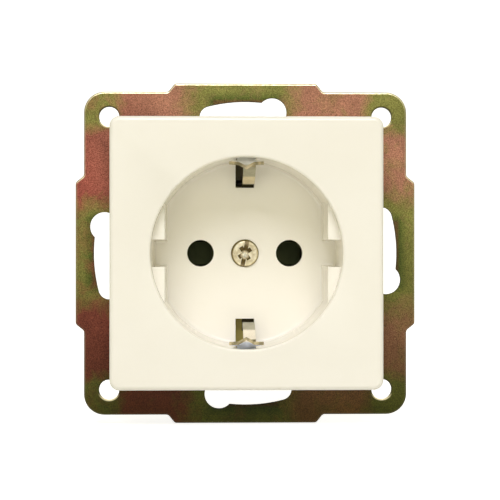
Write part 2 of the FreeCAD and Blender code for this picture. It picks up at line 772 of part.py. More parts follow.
def make_earth_strap():
    """One stamping: a bridge behind the recess floor, a clip at each end and a terminal lug."""
    middle = bridge_front + S.clip_sheet / 2
    half_sheet = S.clip_sheet / 2
    pinch = clip_inner + half_sheet
    line = [(middle, as_size(0)), (middle, pinch + S.clip_bend_rise), (S.clip_pinch_depth, pinch),
            (-S.clip_bend_front, pinch + S.clip_bend_rise),
            (-S.clip_tip_front, pinch + S.clip_tip_rise)]
    near = S.clip_offset - S.clip_width / 2
    far = S.clip_offset + S.clip_width / 2
    upper = fuse("upper_clip", [bent_strip("upper_clip_strip", "YZ", line, near, far, S.clip_sheet),
                                clip_head()])
    lower = mirrored("lower_clip", upper, ACROSS_Z)
    half_width = S.bridge_width / 2
    bridge = block("strap_bridge", (-half_width, bridge_front, -bridge_half_length),
                   (half_width, bridge_rear, bridge_half_length))
    collar = rod("strap_collar", S.collar_radius, bridge_front, bridge_rear + S.collar_length)
    side_wall = -half_width
    lug_middle = S.lug_depth + S.clip_sheet / 2
    tab_line = [(as_size(0), middle), (side_wall, middle), (side_wall, lug_middle),
                (half_width, lug_middle)]
    tab = bent_strip("earth_tab", "XY", tab_line, earth_terminal_rise - S.tab_height / 2,
                     earth_terminal_rise + S.tab_height / 2, S.clip_sheet)
    joined = fuse("strap_joined", [bridge, collar, upper, lower, tab])
    tools = [rod("collar_thread", tapped_radius, bridge_front - through,
                 bridge_rear + S.collar_length + through),
             rod("earth_lug_thread", tapped_radius, S.lug_depth - through, lug_rear + through, 0,
                 earth_terminal_rise)]
    return subpart(cut("earth_strap_piece", joined, tools), "earth_strap")


def clip_head():
    """The clip's head: a wide creased front edge, and a flat neck that rises behind the rim.

    Its front outline is a V of one sheet's thickness, and the sheet flattens and narrows to the
    neck, so that the face between them is shaped like a butterfly.
    """
    front_half = S.head_width / 2
    shoulder = front_half * S.head_shoulder
    low = clip_inner + S.head_wing_rise
    bend = low - S.head_shoulder_drop
    apex = low - S.head_crease
    front_points = [(-front_half, low), (-shoulder, bend), (as_size(0), apex), (shoulder, bend),
                    (front_half, low), (front_half, low + S.head_sheet),
                    (shoulder, bend + S.head_sheet), (as_size(0), apex + S.head_sheet),
                    (-shoulder, bend + S.head_sheet), (-front_half, low + S.head_sheet)]
    sections = []
    for name, depth, points in (("front", -S.head_front, front_points),
                                ("neck", -S.head_neck, neck_section(S.head_neck_rise)),
                                ("rear", -S.head_rear, neck_section(S.head_outer_rise))):
        drawing = doc.addObject("Sketcher::SketchObject", f"clip_head_{name}")
        drawing.Placement.Rotation = FreeCAD.Rotation(FreeCAD.Vector(1, 0, 0), 90)
        bind(drawing, "Placement.Base.y", depth)
        draw_lines(drawing, points)
        sections.append(drawing)
    head = doc.addObject("Part::Loft", "clip_head")
    head.Sections = sections
    head.Solid = True
    head.Ruled = True
    return head


def neck_section(rise):
    """A flat section of the head's neck, with a point for each point of the creased front."""
    half = S.head_rear_width / 2
    shoulder = half * S.head_shoulder
    top = clip_inner + rise
    bottom = top - S.head_sheet
    across = [-half, -shoulder, as_size(0), shoulder, half]
    return [(x, bottom) for x in across] + [(x, top) for x in reversed(across)]


def make_contact(pole, side):
    """A sleeve of two spring blades on a web, and the web's lug with its tapped hole."""
    x = pin_x * side
    half_sheet = S.contact_sheet / 2
    throat = S.pin_radius + S.pin_clearance + half_sheet
    web = S.lug_depth + half_sheet
    half_width = S.contact_width / 2
    near, far = x - half_width, x + half_width
    line = [(web, as_size(0)), (web, S.contact_reach), (S.contact_knee, S.contact_reach),
            (S.contact_throat, throat), (S.contact_mouth, S.contact_mouth_reach)]
    upper = bent_strip(f"{pole}_upper_blade", "YZ", line, near, far, S.contact_sheet)
    lower = mirrored(f"{pole}_lower_blade", upper, ACROSS_Z)
    lug = block(f"{pole}_lug", (near, S.lug_depth, -terminal_drop - S.lug_margin),
                (far, lug_rear, 0))
    joined = fuse(f"{pole}_contact_joined", [upper, lower, lug])
    thread = rod(f"{pole}_lug_thread", tapped_radius, S.lug_depth - through, lug_rear + through,
                 x, -terminal_drop)
    return subpart(cut(f"{pole}_contact_piece", joined, [thread]), f"{pole}_contact")


def make_contact_spring(pole, side):
    """Steel clip bent round both blades of a contact, open at the side towards the middle."""
    x = pin_x * side
    grip = S.contact_reach + S.contact_sheet / 2 + S.thread_clearance + S.spring_sheet / 2
    outer_x = x + (S.contact_width / 2 + S.spring_sheet) * side
    inner_x = x - (S.contact_width / 2 - S.spring_setback) * side
    line = [(inner_x, grip), (outer_x, grip), (outer_x, -grip), (inner_x, -grip)]
    spring = bent_strip(f"{pole}_spring_piece", "XZ", line, S.spring_front,
                        S.spring_front + S.spring_width, S.spring_sheet)
    return subpart(spring, f"{pole}_contact_spring")


def driver_slot(name, head_face, rearwards, length, turn=0.0, x=0, z=0):
    """A straight slot for the screwdriver, cut from the head's face into the head."""
    tool = doc.addObject("Part::Box", name)
    bind(tool, "Length", length)
    bind(tool, "Height", S.driver_slot_width)
    bind(tool, "Width", S.driver_slot_depth + through)
    spin = FreeCAD.Rotation(FreeCAD.Vector(0, 1, 0), turn)
    tool.Placement.Rotation = spin
    start = head_face - through if rearwards else head_face - S.driver_slot_depth
    # The slot's middle stays on the screw's axis when it is turned.
    along, across = as_size(length) / 2, S.driver_slot_width / 2
    shift_x = along * cosine(turn) + across * sine(turn)
    shift_z = across * cosine(turn) - along * sine(turn)
    return place(tool, x - shift_x, start, z - shift_z)


def make_centre_screw():
    """Raised countersunk screw with a straight slot and a cross, which holds the plate."""
    seat = S.cup_floor_depth
    shank_start = seat + S.centre_head_cone
    neck = cone("centre_head_cone_part", S.centre_head_radius, S.thread_radius, seat, shank_start)
    dome = rod("centre_head_dome_part", S.centre_head_radius, seat - S.centre_head_dome, seat)
    shank = rod("centre_shank", S.thread_radius, shank_start, seat + S.centre_screw_length)
    whole = fuse("centre_screw_whole", [neck, dome, shank])
    face = seat - S.centre_head_dome
    domed = rounded("centre_screw_domed", whole, S.centre_head_crown,
                    lambda edge: in_plane(edge, 1, face))
    turn = 90 - S.centre_slot_turn.value
    slot_length = (S.centre_head_radius + S.driver_slot_overrun) * 2
    tools = [driver_slot("centre_slot", face, True, slot_length, turn),
             driver_slot("centre_cross_a", face, True, S.driver_cross_length, turn + 45),
             driver_slot("centre_cross_b", face, True, S.driver_cross_length, turn - 45)]
    return subpart(cut("centre_screw_piece", domed, tools), "centre_screw")


def pan_screw(label, head_face, outwards, length, x, z, head_radius):
    """Pan-head screw along Y. Outwards is -1 where its head looks to the front, 1 to the rear."""
    under = head_face - S.pan_head_height * outwards
    tip = under - as_size(length) * outwards
    head_start, head_end = sorted((head_face, under), key=lambda size: size.value)
    shank_start, shank_end = sorted((under, tip), key=lambda size: size.value)
    head = rod(f"{label}_head", head_radius, head_start, head_end, x, z)
    shank = rod(f"{label}_shank", S.thread_radius, shank_start, shank_end, x, z)
    whole = fuse(f"{label}_whole", [head, shank])
    domed = rounded(f"{label}_domed", whole, S.pan_head_edge,
                    lambda edge: in_plane(edge, 1, head_face))
    slot_length = (head_radius + S.driver_slot_overrun) * 2
    slot = driver_slot(f"{label}_slot", head_face, outwards < 0, slot_length, 0.0, x, z)
    return subpart(cut(f"{label}_piece", domed, [slot]), label)


def make_terminal(name, x, z):
    """A terminal's screw and the square plate that it presses on the wires."""
    half = S.clamp_size / 2
    plate = block(f"{name}_clamp_block", (x - half, clamp_front, z - half), (x + half, clamp_rear, z + half))
    hole = rod(f"{name}_clamp_hole", S.clamp_hole_radius, clamp_front - through, clamp_rear + through, x, z)
    subpart(cut(f"{name}_clamp_piece", plate, [hole]), f"{name}_clamp_plate")
    pan_screw(f"{name}_terminal_screw", clamp_rear + S.pan_head_height, 1, S.terminal_screw_length,
              x, z, S.pan_head_radius)


def make_rivet(number, x, z):
    """Rivet through the ring and an ear of the base."""
    x, z = ear_offset * x, ear_offset * z
    head = rod(f"rivet_{number}_head", S.rivet_head_radius, ring_front - S.rivet_head_height,
               ring_front, x, z)
    shank = rod(f"rivet_{number}_shank", S.rivet_radius, ring_front, S.ear_depth, x, z)
    tail = rod(f"rivet_{number}_tail", S.rivet_tail_radius, S.ear_depth,
               S.ear_depth + S.rivet_tail_height, x, z)
    whole = fuse(f"rivet_{number}_whole", [head, shank, tail])
    domed = rounded(f"rivet_{number}_domed", whole, S.rivet_head_crown,
                    lambda edge: in_plane(edge, 1, ring_front - S.rivet_head_height))
    return subpart(domed, f"ring_rivet_{number}")


def make_claw(name, side):
    """Expanding claw: a foot under the base's ledge, a web on its screw and a toothed leg."""
    leg = claw_leg * side
    tooth_end = S.claw_leg_end + S.claw_tooth_length
    line = [(claw_foot * side, S.claw_web_depth), (leg, S.claw_web_depth), (leg, S.claw_leg_end),
            ((claw_leg + S.claw_tooth_rise) * side, tooth_end)]
    half = S.claw_width / 2
    strip = bent_strip(f"{name}_claw_strip", "XY", line, -half, half, S.claw_sheet)
    x = claw_screw_x * side
    tools = [rod(f"{name}_claw_hole", S.claw_hole_radius, S.claw_web_depth - S.claw_sheet,
                 S.claw_web_depth + S.claw_sheet, x + S.claw_hole_shift * side)]
    # Notches across the leg's end leave three teeth.
    notch = S.claw_tooth_notch / 2
    across = S.claw_tooth_rise + S.claw_sheet + through
    for label, z in (("lower", -S.claw_width / 6), ("upper", S.claw_width / 6)):
        tools.append(block(f"{name}_claw_notch_{label}",
                           (leg - across, tooth_end - S.claw_tooth_notch_depth, z - notch),
                           (leg + across, tooth_end + S.claw_sheet + through, z + notch)))
    subpart(cut(f"{name}_claw_piece", strip, tools), f"claw_{name}")
    pan_screw(f"claw_screw_{name}", ring_front - S.pan_head_height - S.thread_clearance, -1,
              S.claw_screw_length, x, as_size(0), S.claw_head_radius)


make_mounting_ring()
make_centre_plate()
make_centre_screw()
make_socket_base()
make_base_cover()
make_earth_strap()
for pole, side in POLES:
    make_contact(pole, side)
    make_contact_spring(pole, side)
for name, x, z in terminal_places():
    make_terminal(name, x, z)
for number, (x, z) in enumerate(CORNERS, start=1):
    make_rivet(number, x, z)
for name, side in SIDES:
    make_claw(name, side)

doc.recompute()
for item in doc.Objects:
    if "Invalid" in item.State or "Error" in item.State:
        raise RuntimeError(f"{item.Label} failed: {item.State}")
for piece in SUBPARTS:
    if piece.Shape.isNull() or not piece.Shape.isValid():
        raise RuntimeError(f"{piece.Label} has no valid shape")

os.makedirs("parts", exist_ok=True)
for piece in SUBPARTS:
    piece.Shape.exportStep(os.path.join("parts", f"{piece.Label}.step"))
    box = piece.Shape.BoundBox
    print(f"{piece.Label}: {len(piece.Shape.Solids)} solid, {piece.Shape.Volume:.1f} mm3, "
          f"x {box.XMin:.2f}..{box.XMax:.2f}, y {box.YMin:.2f}..{box.YMax:.2f}, "
          f"z {box.ZMin:.2f}..{box.ZMax:.2f}")
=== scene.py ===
import json
import math

import bmesh
import bpy
from mathutils import Matrix, Vector


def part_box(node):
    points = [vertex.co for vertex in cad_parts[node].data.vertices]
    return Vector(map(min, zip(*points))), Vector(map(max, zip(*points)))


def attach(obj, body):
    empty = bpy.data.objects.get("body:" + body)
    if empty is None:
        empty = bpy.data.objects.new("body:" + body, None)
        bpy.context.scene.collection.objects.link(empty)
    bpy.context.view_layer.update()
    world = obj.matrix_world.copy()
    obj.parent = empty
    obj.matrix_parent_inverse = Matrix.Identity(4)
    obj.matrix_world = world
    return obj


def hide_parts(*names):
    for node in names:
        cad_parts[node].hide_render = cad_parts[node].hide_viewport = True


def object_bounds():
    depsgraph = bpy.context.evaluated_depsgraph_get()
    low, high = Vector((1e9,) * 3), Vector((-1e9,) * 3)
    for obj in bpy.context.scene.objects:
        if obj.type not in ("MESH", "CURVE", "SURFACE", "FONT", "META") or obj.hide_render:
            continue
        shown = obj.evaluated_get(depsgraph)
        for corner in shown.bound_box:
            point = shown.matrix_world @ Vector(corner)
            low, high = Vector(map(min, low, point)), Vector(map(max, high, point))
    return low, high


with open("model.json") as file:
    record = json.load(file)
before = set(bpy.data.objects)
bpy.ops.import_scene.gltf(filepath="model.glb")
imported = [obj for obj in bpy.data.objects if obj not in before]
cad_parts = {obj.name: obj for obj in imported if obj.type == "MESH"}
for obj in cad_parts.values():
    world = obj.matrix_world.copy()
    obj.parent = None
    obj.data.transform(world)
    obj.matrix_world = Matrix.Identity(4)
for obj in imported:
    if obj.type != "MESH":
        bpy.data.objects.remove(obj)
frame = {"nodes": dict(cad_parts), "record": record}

# Type F wall socket insert. Metres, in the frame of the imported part: the wall plane is y = 0,
# the socket's front looks along -Y, and Z is up.

MM = 0.001
cad_low, cad_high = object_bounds()

PLATE_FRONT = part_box("centre_plate")[0].y

# The mounting ring: how far its tabs stand out, half its sheet without them, where its corner holes
# and curved slots lie, and how far the thin film round the upper and lower slot is set to the left
CORNER_SCREWS = next(mount for mount in frame["record"]["mounts"] if mount["name"] == "corner_screws")
TAB_STEP = 1.2 * MM
SHEET_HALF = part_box("mounting_ring")[1].x - TAB_STEP
CORNER_HOLE = CORNER_SCREWS["dims"]["spacing_x_mm"] / 2 * MM
HOLE_RADIUS = CORNER_SCREWS["dims"]["hole_r_mm"] * MM
SLOT_CIRCLE = 29.5 * MM
SLOT_HALF = 6.5 * MM
SLOT_HALF_WIDTH = 2.3 * MM
THIN_FILM_LEAN = 1.8 * MM

# The earth clips' heads: a place just behind their front faces, and how far out their rear faces begin
HEAD_FRONT = -8.0 * MM
HEAD_RISE = 17.9 * MM

# The middle of the lower clip slot, behind which the base is painted paler olive: a painted pool of light
LOWER_CLIP_SLOT = -16.0 * MM

# The centre screw's slot leans to the right at its top, so it is turned on by this many degrees
SCREW_TURN = 20.0

# Terminal and claw screws: the height of their heads, a radius just outside their shanks, and the
# share of the shank's radius that is left as the thread's core
PAN_HEAD = 2.0 * MM
SHANK_REACH = 1.56 * MM
CORE_SHARE = 0.82

# The lengths of their shanks that are left bare: from the tip to the thread, from the thread to the
# head, and at full radius under the head
TIP_GAP = 0.4 * MM
TERMINAL_HEAD_GAP = 0.5 * MM
CLAW_HEAD_GAP = 0.6 * MM
FULL_SHANK = 0.1 * MM

# In a copy of a node, points closer than this are one, and faces are one flat if they turn by less
# than this many degrees
MERGE_GAP = 0.002 * MM
FLAT_ANGLE = 0.4

# Edges that turn by more than this many degrees are sharp, and are softened
SHARP_ANGLE = 42.0


# Camera, light and stage

# Where the photo was taken from, the point in its middle, and the lens and sensor in millimetres
CAMERA_PLACE = (-7.25 * MM, -302.5 * MM, 0.0)
CAMERA_TARGET = (0.63 * MM, PLATE_FRONT, 0.65 * MM)
LENS = 103.8
SENSOR_WIDTH = 36.0

# The lamps in watts, and the strength of the room's own light
KEY_POWER = 4.2
FILL_POWER = 1.86
REAR_POWER = 1.2
ROOM_LIGHT = 0.23

# Metal mirrors a room that is dimmer towards the camera and low down. Each pair says where along the
# ray's direction the dimming begins and where it is full.
DIM_ALONG_Y = (-0.15, -0.80)
DIM_ALONG_Z = (0.32, -0.14)

# How far the floor lies below the part and reaches out in front of the wall plane, the backdrop's
# place and height, the stage's half width, and the bend between floor and backdrop
FLOOR_GAP = 0.3 * MM
FLOOR_REACH = 0.14
BACKDROP = 0.95
BACKDROP_HEIGHT = 1.3
STAGE_HALF_WIDTH = 1.3
STAGE_BEND = 0.30
BEND_STEPS = 12


def aim(thing, place, target):
    thing.location = place
    thing.rotation_euler = (Vector(target) - Vector(place)).to_track_quat("-Z", "Y").to_euler()
    bpy.context.scene.collection.objects.link(thing)


def add_camera():
    lens = bpy.data.cameras.new("photo_lens")
    lens.sensor_width = SENSOR_WIDTH
    lens.lens = LENS
    lens.clip_start = 0.01
    lens.clip_end = 20.0
    camera = bpy.data.objects.new("photo_camera", lens)
    aim(camera, CAMERA_PLACE, CAMERA_TARGET)
    bpy.context.scene.camera = camera


def add_lamp(name, place, width, height, power, tint=(1.0, 1.0, 1.0)):
    """A soft box that faces the part."""
    lamp = bpy.data.lights.new(name, "AREA")
    lamp.shape = "RECTANGLE"
    lamp.size = width
    lamp.size_y = height
    lamp.energy = power
    lamp.color = tint
    box = bpy.data.objects.new(name, lamp)
    aim(box, place, (0.0, 0.0, 0.0))
    return box


def rays_that_look(tree):
    """1 for the rays that the camera, a mirror or a glass looks along, and 0 for the rest."""
    rays = tree.nodes.new("ShaderNodeLightPath")
    seen = rays.outputs["Is Camera Ray"]
    for kind in ("Is Glossy Ray", "Is Transmission Ray"):
        either = tree.nodes.new("ShaderNodeMath")
        either.operation = "MAXIMUM"
        tree.links.new(seen, either.inputs[0])
        tree.links.new(rays.outputs[kind], either.inputs[1])
        seen = either.outputs[0]
    return seen


def room_seen(tree):
    """What the looking rays see: white, and for mirrored rays dimmer low down on the camera's side."""
    way = tree.nodes.new("ShaderNodeSeparateXYZ")
    tree.links.new(tree.nodes.new("ShaderNodeTexCoord").outputs["Generated"], way.inputs[0])
    dimmer = tree.nodes.new("ShaderNodeMath")
    dimmer.operation = "MULTIPLY"
    for socket, letter, (start, end) in zip(dimmer.inputs, "YZ", (DIM_ALONG_Y, DIM_ALONG_Z)):
        part = tree.nodes.new("ShaderNodeMapRange")
        part.interpolation_type = "SMOOTHSTEP"
        part.inputs["From Min"].default_value = start
        part.inputs["From Max"].default_value = end
        tree.links.new(way.outputs[letter], part.inputs["Value"])
        tree.links.new(part.outputs["Result"], socket)
    mirrored = tree.nodes.new("ShaderNodeMath")
    mirrored.operation = "MULTIPLY"
    tree.links.new(dimmer.outputs[0], mirrored.inputs[0])
    tree.links.new(tree.nodes.new("ShaderNodeLightPath").outputs["Is Glossy Ray"], mirrored.inputs[1])
    colour = tree.nodes.new("ShaderNodeMix")
    colour.data_type = "RGBA"
    colour.inputs["A"].default_value = (1.0, 1.0, 1.0, 1.0)
    colour.inputs["B"].default_value = (0.16, 0.17, 0.21, 1.0)
    tree.links.new(mirrored.outputs[0], colour.inputs["Factor"])
    return colour.outputs["Result"]


def add_light():
    """A cool lamp high up in front, a warm one behind the camera, a plain one at the rear, a warm room."""
    add_lamp("key_lamp", (-0.03, -0.58, 0.56), width=0.50, height=0.40, power=KEY_POWER,
             tint=(0.89, 0.895, 1.0))
    fill = add_lamp("fill_lamp", (-0.05, -0.80, 0.02), width=0.80, height=0.40, power=FILL_POWER,
                    tint=(1.0, 0.98, 0.82))
    # Metal would show it as one flat glare.
    fill.visible_glossy = False
    add_lamp("rear_lamp", (0.25, 0.60, 0.50), width=0.50, height=0.50, power=REAR_POWER)
    world = bpy.data.worlds.new("studio")
    bpy.context.scene.world = world
    world.use_nodes = True
    tree = world.node_tree
    tree.nodes.clear()
    room = tree.nodes.new("ShaderNodeBackground")
    room.inputs["Color"].default_value = (1.0, 0.93, 0.42, 1.0)
    room.inputs["Strength"].default_value = ROOM_LIGHT
    seen = tree.nodes.new("ShaderNodeBackground")
    tree.links.new(room_seen(tree), seen.inputs["Color"])
    seen.inputs["Strength"].default_value = 1.0
    choice = tree.nodes.new("ShaderNodeMixShader")
    out = tree.nodes.new("ShaderNodeOutputWorld")
    tree.links.new(rays_that_look(tree), choice.inputs["Fac"])
    tree.links.new(room.outputs[0], choice.inputs[1])
    tree.links.new(seen.outputs[0], choice.inputs[2])
    tree.links.new(choice.outputs[0], out.inputs["Surface"])


def stage_paper():
    """White paper: lit like paper, and near white where the camera sees it."""
    paper = bpy.data.materials.new("stage_paper")
    paper.use_nodes = True
    tree = paper.node_tree
    tree.nodes.clear()
    matt = tree.nodes.new("ShaderNodeBsdfDiffuse")
    matt.inputs["Color"].default_value = (0.88, 0.88, 0.88, 1.0)
    glow = tree.nodes.new("ShaderNodeEmission")
    glow.inputs["Color"].default_value = (0.80, 0.80, 0.80, 1.0)
    glow.inputs["Strength"].default_value = 1.0
    both = tree.nodes.new("ShaderNodeAddShader")
    choice = tree.nodes.new("ShaderNodeMixShader")
    out = tree.nodes.new("ShaderNodeOutputMaterial")
    tree.links.new(matt.outputs[0], both.inputs[0])
    tree.links.new(glow.outputs[0], both.inputs[1])
    tree.links.new(rays_that_look(tree), choice.inputs["Fac"])
    tree.links.new(matt.outputs[0], choice.inputs[1])
    tree.links.new(both.outputs[0], choice.inputs[2])
    tree.links.new(choice.outputs[0], out.inputs["Surface"])
    return paper


def add_stage():
    """A floor that sweeps up into a backdrop behind the part."""
    level = cad_low.z - FLOOR_GAP
    line = [(-FLOOR_REACH, level)]
    for step in range(BEND_STEPS + 1):
        angle = math.radians(90.0 * step / BEND_STEPS)
        line.append((BACKDROP - STAGE_BEND + STAGE_BEND * math.sin(angle),
                     level + STAGE_BEND - STAGE_BEND * math.cos(angle)))
    line.append((BACKDROP, level + BACKDROP_HEIGHT))
    points = [(x, y, z) for y, z in line for x in (-STAGE_HALF_WIDTH, STAGE_HALF_WIDTH)]
    faces = [(2 * n, 2 * n + 1, 2 * n + 3, 2 * n + 2) for n in range(len(line) - 1)]
    mesh = bpy.data.meshes.new("stage_sweep")
    mesh.from_pydata(points, [], faces)
    for face in mesh.polygons:
        face.use_smooth = True
    sweep = bpy.data.objects.new("stage_sweep", mesh)
    mesh.materials.append(stage_paper())
    bpy.context.scene.collection.objects.link(sweep)


# Finishes

class Finish:
    """A procedural finish. Its patterns lie on object coordinates, and sizes are millimetres."""

    def __init__(self, name, **sockets):
        self.material = bpy.data.materials.new(name)
        self.material.use_nodes = True
        self.tree = self.material.node_tree
        self.shader = self.tree.nodes["Principled BSDF"]
        for socket, value in sockets.items():
            self.shader.inputs[socket.replace("_", " ")].default_value = value
        self.coords = self.tree.nodes.new("ShaderNodeTexCoord").outputs["Object"]
        self.normal = None

    def node(self, kind, **values):
        made = self.tree.nodes.new(kind)
        for name, value in values.items():
            setattr(made, name, value)
        return made

    def feed(self, socket, value):
        """A socket takes a link, or a plain value."""
        if isinstance(value, bpy.types.NodeSocket):
            self.tree.links.new(value, socket)
        else:
            socket.default_value = value

    def place(self, stretch=(1.0, 1.0, 1.0), turn=(0.0, 0.0, 0.0), shift=(0.0, 0.0, 0.0)):
        """Object coordinates, stretched along the axes, turned by degrees and shifted."""
        mapping = self.node("ShaderNodeMapping")
        self.feed(mapping.inputs["Vector"], self.coords)
        mapping.inputs["Scale"].default_value = [1.0 / s for s in stretch]
        mapping.inputs["Rotation"].default_value = [math.radians(a) for a in turn]
        mapping.inputs["Location"].default_value = shift
        return mapping.outputs["Vector"]

    def noise(self, size, detail=3.0, rough=0.5, distortion=0.0, **where):
        """Noise with grains of about this size."""
        made = self.node("ShaderNodeTexNoise")
        self.feed(made.inputs["Vector"], self.place(**where))
        made.inputs["Scale"].default_value = 1.0 / (size * MM)
        made.inputs["Detail"].default_value = detail
        made.inputs["Roughness"].default_value = rough
        made.inputs["Distortion"].default_value = distortion
        return made.outputs["Fac"]

    def ramp(self, factor, *stops):
        """A colour ramp. Each stop is a place and a colour, or a place and a grey."""
        made = self.node("ShaderNodeValToRGB")
        points = made.color_ramp.elements
        while len(points) < len(stops):
            points.new(0.5)
        for point, (place, colour) in zip(points, stops):
            point.position = place
            point.color = (*colour, 1.0) if hasattr(colour, "__len__") else (colour,) * 3 + (1.0,)
        self.feed(made.inputs["Fac"], factor)
        return made.outputs["Color"]

    def mix(self, factor, first, second, blend="MIX"):
        made = self.node("ShaderNodeMix", data_type="RGBA", blend_type=blend)
        self.feed(made.inputs["Factor"], factor)
        for socket, value in ((made.inputs["A"], first), (made.inputs["B"], second)):
            self.feed(socket, (*value, 1.0) if isinstance(value, tuple) and len(value) == 3 else value)
        return made.outputs["Result"]

    def remap(self, factor, low, high, start=0.0, end=1.0):
        """From low to high while the factor goes from start to end, and level beyond."""
        made = self.node("ShaderNodeMapRange")
        self.feed(made.inputs["Value"], factor)
        for socket, value in zip(("From Min", "From Max", "To Min", "To Max"), (start, end, low, high)):
            made.inputs[socket].default_value = value
        return made.outputs["Result"]

    def combine(self, first, second, operation="MULTIPLY"):
        """Two values made one by a Math node."""
        made = self.node("ShaderNodeMath", operation=operation)
        self.feed(made.inputs[0], first)
        self.feed(made.inputs[1], second)
        return made.outputs["Value"]

    def size(self, value):
        """The value without its sign."""
        return self.combine(value, 0.0, "ABSOLUTE")

    def less(self, value, amount):
        return self.combine(value, amount, "SUBTRACT")

    def above(self, value, level):
        """How far the value lies above the level, or 0."""
        return self.combine(self.less(value, level), 0.0, "MAXIMUM")

    def length(self, first, second):
        """The distance to a point whose X and Z are these."""
        joined = self.node("ShaderNodeCombineXYZ")
        self.feed(joined.inputs["X"], first)
        self.feed(joined.inputs["Z"], second)
        measure = self.node("ShaderNodeVectorMath", operation="LENGTH")
        self.feed(measure.inputs[0], joined.outputs[0])
        return measure.outputs["Value"]

    def axis(self, letter):
        """One of the object coordinates."""
        split = self.node("ShaderNodeSeparateXYZ")
        self.feed(split.inputs["Vector"], self.coords)
        return split.outputs[letter]

    def mark(self, name):
        """What a piece's faces are marked with."""
        return self.node("ShaderNodeAttribute", attribute_name=name).outputs["Fac"]

    def colour(self, value):
        self.feed(self.shader.inputs["Base Color"], value)

    def metal(self, value):
        self.feed(self.shader.inputs["Metallic"], value)

    def rough(self, value):
        self.feed(self.shader.inputs["Roughness"], value)

    def bump(self, height, depth):
        """Relief of a depth in millimetres. Later relief lies on the earlier."""
        made = self.node("ShaderNodeBump")
        made.inputs["Distance"].default_value = depth * MM
        self.feed(made.inputs["Height"], height)
        if self.normal is not None:
            self.tree.links.new(self.normal, made.inputs["Normal"])
        self.normal = made.outputs["Normal"]
        self.tree.links.new(self.normal, self.shader.inputs["Normal"])


def ivory_thermoset():
    """Glossy ivory moulding with a faint flow in its colour, fine dust and hairline scratches."""
    finish = Finish("ivory_thermoset", Coat_Weight=0.12, Coat_Roughness=0.08)
    flow = finish.noise(16.0, distortion=0.6)
    tone = finish.ramp(flow, (0.30, (0.930, 0.890, 0.795)), (0.70, (0.945, 0.908, 0.818)))
    dust = finish.noise(0.22, detail=2.0, rough=0.7)
    specks = finish.ramp(dust, (0.68, 0.0), (0.78, 1.0))
    finish.colour(finish.mix(finish.remap(specks, 0.0, 0.15), tone, (0.62, 0.52, 0.36)))
    finish.rough(finish.remap(finish.noise(5.0), 0.19, 0.24, 0.3, 0.7))
    finish.bump(finish.noise(2.6, detail=1.0), 0.003)
    scratches = finish.noise(0.5, detail=1.0, stretch=(14.0, 1.0, 0.6), turn=(0.0, 24.0, 0.0))
    finish.bump(finish.ramp(scratches, (0.72, 0.0), (0.76, 1.0)), 0.001)
    return finish.material


def film_thickness(finish, x, z):
    """About 0 where the film is thin, round the holes and slots, to about 1 between them, with clouds."""
    from_corner = finish.remap(finish.combine(x, z, "MINIMUM"), 0.0, 1.0,
                               CORNER_HOLE - 0.9 * MM, CORNER_HOLE - 4.7 * MM)
    # Round the upper and the lower slot, the thin film reaches further to the left.
    leaned = finish.size(finish.combine(finish.axis("X"), THIN_FILM_LEAN, "ADD"))
    from_slot = finish.remap(finish.combine(leaned, z, "MINIMUM"), 0.0, 1.0,
                             SLOT_HALF + 1.4 * MM, SLOT_HALF + 7.8 * MM)
    cloud = finish.noise(4.0, detail=5.0, rough=0.62, distortion=0.9)
    film = finish.combine(finish.combine(from_corner, from_slot, "MINIMUM"),
                          finish.remap(cloud, -0.35, 0.35, 0.3, 0.7), "ADD")
    to_the_right = finish.remap(finish.axis("X"), 0.2, -0.15, -SHEET_HALF, SHEET_HALF)
    return finish.combine(film, to_the_right, "ADD")


def film_colour(finish, x, z):
    """Brown at the slots, then olive, and between them red on the left and rose above and on the right."""
    off_circle = finish.size(finish.less(finish.combine(x, z, "MAXIMUM"), SLOT_CIRCLE))
    from_slot = finish.length(finish.above(finish.combine(x, z, "MINIMUM"), SLOT_HALF),
                              finish.above(off_circle, SLOT_HALF_WIDTH))
    thin = finish.ramp(finish.remap(from_slot, 0.0, 1.0, 0.0, 4.0 * MM), (0.0, (0.130, 0.080, 0.025)),
                       (0.14, (0.105, 0.128, 0.024)), (0.55, (0.218, 0.208, 0.050)))
    right_and_up = finish.combine(finish.axis("X"), finish.combine(finish.axis("Z"), 0.4), "ADD")
    rose = finish.remap(right_and_up, 0.0, 1.0, -0.84 * SHEET_HALF, -0.1 * SHEET_HALF)
    thick = finish.mix(rose, (0.300, 0.078, 0.052), (0.395, 0.180, 0.106))
    thickness = finish.remap(film_thickness(finish, x, z), 0.0, 1.0, 0.05, 0.95)
    depth = finish.noise(9.0, rough=0.55, shift=(3.1, 0.0, 7.7))
    tone = finish.mix(0.7, finish.mix(thickness, thin, thick),
                      finish.ramp(depth, (0.34, 0.72), (0.64, 1.15)), blend="MULTIPLY")
    # Low down the film is darker: painted shade, standing in for the centre plate's shadow on the lower
    # ring.
    height = finish.remap(finish.axis("Z"), 0.0, 1.0, -0.95 * SHEET_HALF, 0.40 * SHEET_HALF)
    return finish.mix(1.0, tone, finish.mix(height, (0.19, 0.21, 0.08), (1.0, 1.0, 1.0)), blend="MULTIPLY")


def hole_rims(finish, x):
    """Masks for the corner holes' rims: a painted shadow on the upper rims and a painted highlight on the
    lower ones.
    """
    z = finish.axis("Z")
    up = finish.less(z, finish.combine(finish.combine(z, 0.0, "SIGN"), CORNER_HOLE))
    rim = finish.remap(finish.length(finish.less(x, CORNER_HOLE), up), 1.0, 0.0,
                       HOLE_RADIUS + 0.12 * MM, HOLE_RADIUS + 0.36 * MM)
    painted_shadow = finish.combine(rim, finish.remap(up, 0.0, 0.85, 0.0, 0.6 * HOLE_RADIUS))
    painted_glint = finish.combine(rim, finish.remap(up, 0.0, 0.9, -0.35 * HOLE_RADIUS, -0.8 * HOLE_RADIUS))
    return painted_shadow, painted_glint


